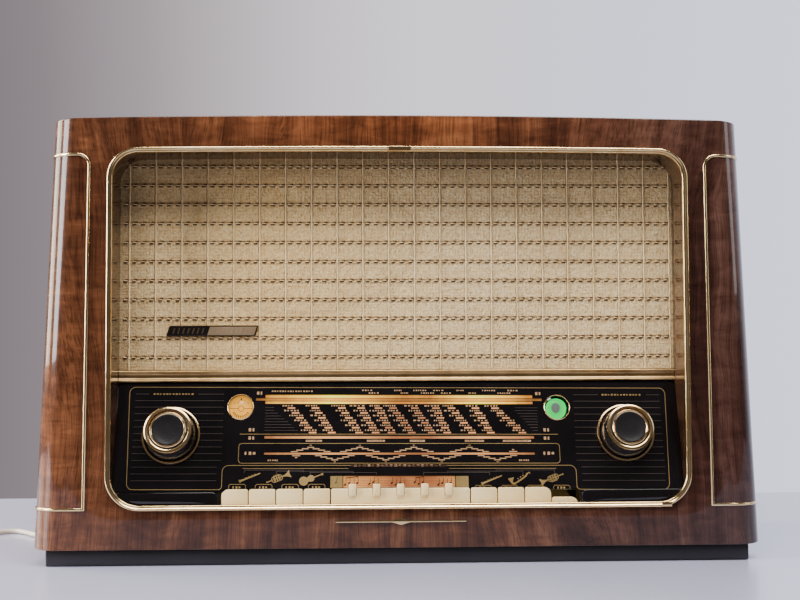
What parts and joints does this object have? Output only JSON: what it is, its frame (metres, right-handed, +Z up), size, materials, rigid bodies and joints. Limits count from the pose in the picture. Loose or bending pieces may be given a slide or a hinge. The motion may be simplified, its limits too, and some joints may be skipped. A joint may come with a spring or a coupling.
{
  "type": "table-top valve radio",
  "caption": "Table-top valve radio with a walnut cabinet, cloth grille, lit leaning scale, two pairs of concentric knobs, a row of piano keys and a mains lead.",
  "frame": {"origin": "under the middle of the radio, on the surface it stands on; the middle of its box is taken without the mains lead", "axes": "+X to the right of someone facing the radio, +Y from the front to the back, +Z up"},
  "size_m": [0.8268, 0.3849, 0.3988],
  "materials": {
    "walnut": "polished lacquer over figured veneer",
    "bare_board": "unfinished",
    "dark_wood": "high gloss",
    "black_lacquer": "satin lacquer",
    "gold_plating": "polished, pale",
    "brass": "polished",
    "bronze": "satin bronze lacquer",
    "black_plastic": "gloss",
    "fibre_board": "matt pressed board",
    "grille_fabric": "woven, matt",
    "printed_glass": "black print on the back of clear glass",
    "clear_glass": "clear",
    "indicator_card": "translucent",
    "plated_steel": "zinc plated",
    "dark_iron": "dull varnish",
    "ivory_plastic": "soft gloss",
    "cream_vinyl": "smooth",
    "rubber": "matt"
  },
  "bodies": {
    "cabinet": {"front_frame": "walnut", "recess_lining": "dark_wood", "top_panel": "walnut", "left_side": "walnut", "right_side": "walnut", "bottom_board": "bare_board", "plinth": "black_lacquer", "front_trim": "gold_plating", "left_strip": "brass", "right_strip": "brass", "speaker_baffle": "fibre_board", "grille_cloth": "grille_fabric", "divider_bar": "bronze", "badge_plate": "black_plastic", "ornament_bar": "brass", "dial_glass": "printed_glass", "dial_plate": "plated_steel", "magic_eye": "clear_glass", "pointer_rail": "plated_steel", "register_block": "ivory_plastic", "key_frame": "black_plastic", "chassis": "plated_steel", "mains_transformer": "dark_iron", "output_transformer": "dark_iron", "capacitor_frame": "plated_steel", "oval_speaker": "dark_iron", "treble_speaker": "dark_iron", "back_cover": "fibre_board", "socket_panel": "black_plastic", "valve_1": "clear_glass", "valve_2": "clear_glass", "valve_3": "clear_glass", "valve_4": "clear_glass", "filter_can": "plated_steel", "strain_relief": "rubber", "cord_lead": "cream_vinyl", "cord_coil": "cream_vinyl", "plug": "cream_vinyl"},
    "left_ring": {"left_ring": "black_plastic"},
    "left_knob": {"left_knob": "gold_plating"},
    "right_ring": {"right_ring": "black_plastic"},
    "right_knob": {"right_knob": "gold_plating", "flywheel": "plated_steel"},
    "pointer": {"pointer": "black_plastic"},
    "capacitor_rotor": {"capacitor_rotor": "brass"},
    "ferrite_antenna": {"ferrite_antenna": "dark_iron"},
    "antenna_indicator": {"antenna_indicator": "indicator_card"},
    "left_key_1": {"left_key_1": "ivory_plastic"},
    "left_key_2": {"left_key_2": "ivory_plastic"},
    "left_key_3": {"left_key_3": "ivory_plastic"},
    "left_key_4": {"left_key_4": "ivory_plastic"},
    "right_key_1": {"right_key_1": "ivory_plastic"},
    "right_key_2": {"right_key_2": "ivory_plastic"},
    "right_key_3": {"right_key_3": "ivory_plastic"},
    "right_key_4": {"right_key_4": "ivory_plastic"},
    "register_lever_1": {"register_lever_1": "ivory_plastic"},
    "register_lever_2": {"register_lever_2": "ivory_plastic"},
    "register_lever_3": {"register_lever_3": "ivory_plastic"},
    "register_lever_4": {"register_lever_4": "ivory_plastic"},
    "register_lever_5": {"register_lever_5": "ivory_plastic"}
  },
  "joints": [
    {"name": "volume_turn", "type": "hinge", "parent": "cabinet", "child": "left_knob", "pos_m": [-0.2045, -0.11458, 0.11242], "axis": [0, -0.9563, 0.2924], "range_deg": [-135, 135]},
    {"name": "antenna_ring_turn", "type": "hinge", "parent": "cabinet", "child": "left_ring", "pos_m": [-0.2045, -0.11458, 0.11242], "axis": [0, -0.9563, 0.2924], "range_deg": [-90, 90]},
    {"name": "tuning_turn", "type": "hinge", "parent": "cabinet", "child": "right_knob", "pos_m": [0.2045, -0.11458, 0.11242], "axis": [0, -0.9563, 0.2924], "range_deg": [-900, 900]},
    {"name": "tone_ring_turn", "type": "hinge", "parent": "cabinet", "child": "right_ring", "pos_m": [0.2045, -0.11458, 0.11242], "axis": [0, -0.9563, 0.2924], "range_deg": [-135, 135]},
    {"name": "pointer_slide", "type": "slide", "parent": "cabinet", "child": "pointer", "axis": [1, 0, 0], "range_m": [-0.118, 0.118]},
    {"name": "capacitor_turn", "type": "hinge", "parent": "cabinet", "child": "capacitor_rotor", "pos_m": [0.114, 0.00857, 0.1103], "axis": [0, 1, 0], "range_deg": [-90.01, 90.01]},
    {"name": "ferrite_turn", "type": "hinge", "parent": "cabinet", "child": "ferrite_antenna", "pos_m": [-0.02, 0.04357, 0.175], "axis": [0, 0, 1], "range_deg": [-90.01, 90.01]},
    {"name": "indicator_turn", "type": "hinge", "parent": "cabinet", "child": "antenna_indicator", "pos_m": [-0.1436, -0.10675, 0.13805], "axis": [0, -0.9563, 0.2924], "range_deg": [-90.01, 90.01]},
    {"name": "left_key_1_press", "type": "hinge", "parent": "cabinet", "child": "left_key_1", "pos_m": [-0.14645, -0.05643, 0.056], "axis": [1, 0, 0], "range_deg": [0, 6.8], "stiffness_Nm_per_rad": 0.3, "springref_deg": -5.73},
    {"name": "left_key_2_press", "type": "hinge", "parent": "cabinet", "child": "left_key_2", "pos_m": [-0.12235, -0.05643, 0.056], "axis": [1, 0, 0], "range_deg": [0, 6.8], "stiffness_Nm_per_rad": 0.3, "springref_deg": -5.73},
    {"name": "left_key_3_press", "type": "hinge", "parent": "cabinet", "child": "left_key_3", "pos_m": [-0.09825, -0.05643, 0.056], "axis": [1, 0, 0], "range_deg": [0, 6.8], "stiffness_Nm_per_rad": 0.3, "springref_deg": -5.73},
    {"name": "left_key_4_press", "type": "hinge", "parent": "cabinet", "child": "left_key_4", "pos_m": [-0.07415, -0.05643, 0.056], "axis": [1, 0, 0], "range_deg": [0, 6.8], "stiffness_Nm_per_rad": 0.3, "springref_deg": -5.73},
    {"name": "right_key_1_press", "type": "hinge", "parent": "cabinet", "child": "right_key_1", "pos_m": [0.07415, -0.05643, 0.056], "axis": [1, 0, 0], "range_deg": [0, 6.8], "stiffness_Nm_per_rad": 0.3, "springref_deg": -5.73},
    {"name": "right_key_2_press", "type": "hinge", "parent": "cabinet", "child": "right_key_2", "pos_m": [0.09825, -0.05643, 0.056], "axis": [1, 0, 0], "range_deg": [0, 6.8], "stiffness_Nm_per_rad": 0.3, "springref_deg": -5.73},
    {"name": "right_key_3_press", "type": "hinge", "parent": "cabinet", "child": "right_key_3", "pos_m": [0.12235, -0.05643, 0.056], "axis": [1, 0, 0], "range_deg": [0, 6.8], "stiffness_Nm_per_rad": 0.3, "springref_deg": -5.73},
    {"name": "right_key_4_press", "type": "hinge", "parent": "cabinet", "child": "right_key_4", "pos_m": [0.14645, -0.05643, 0.056], "axis": [1, 0, 0], "range_deg": [-6.8, 0]},
    {"name": "register_lever_1_press", "type": "slide", "parent": "cabinet", "child": "register_lever_1", "axis": [0, 0, -1], "range_m": [0, 0.0042], "stiffness_N_per_m": 50, "springref_m": -0.003},
    {"name": "register_lever_2_press", "type": "slide", "parent": "cabinet", "child": "register_lever_2", "axis": [0, 0, -1], "range_m": [0, 0.0042], "stiffness_N_per_m": 50, "springref_m": -0.003},
    {"name": "register_lever_3_press", "type": "slide", "parent": "cabinet", "child": "register_lever_3", "axis": [0, 0, -1], "range_m": [0, 0.0042], "stiffness_N_per_m": 50, "springref_m": -0.003},
    {"name": "register_lever_4_press", "type": "slide", "parent": "cabinet", "child": "register_lever_4", "axis": [0, 0, -1], "range_m": [0, 0.0042], "stiffness_N_per_m": 50, "springref_m": -0.003},
    {"name": "register_lever_5_press", "type": "slide", "parent": "cabinet", "child": "register_lever_5", "axis": [0, 0, -1], "range_m": [0, 0.0042], "stiffness_N_per_m": 50, "springref_m": -0.003}
  ],
  "couplings": [
    {"joint": "pointer_slide", "follows": "tuning_turn", "m_per_rad": -0.0075057},
    {"joint": "capacitor_turn", "follows": "tuning_turn", "ratio": -0.1},
    {"joint": "ferrite_turn", "follows": "antenna_ring_turn", "ratio": 1},
    {"joint": "indicator_turn", "follows": "antenna_ring_turn", "ratio": 1}
  ]
}
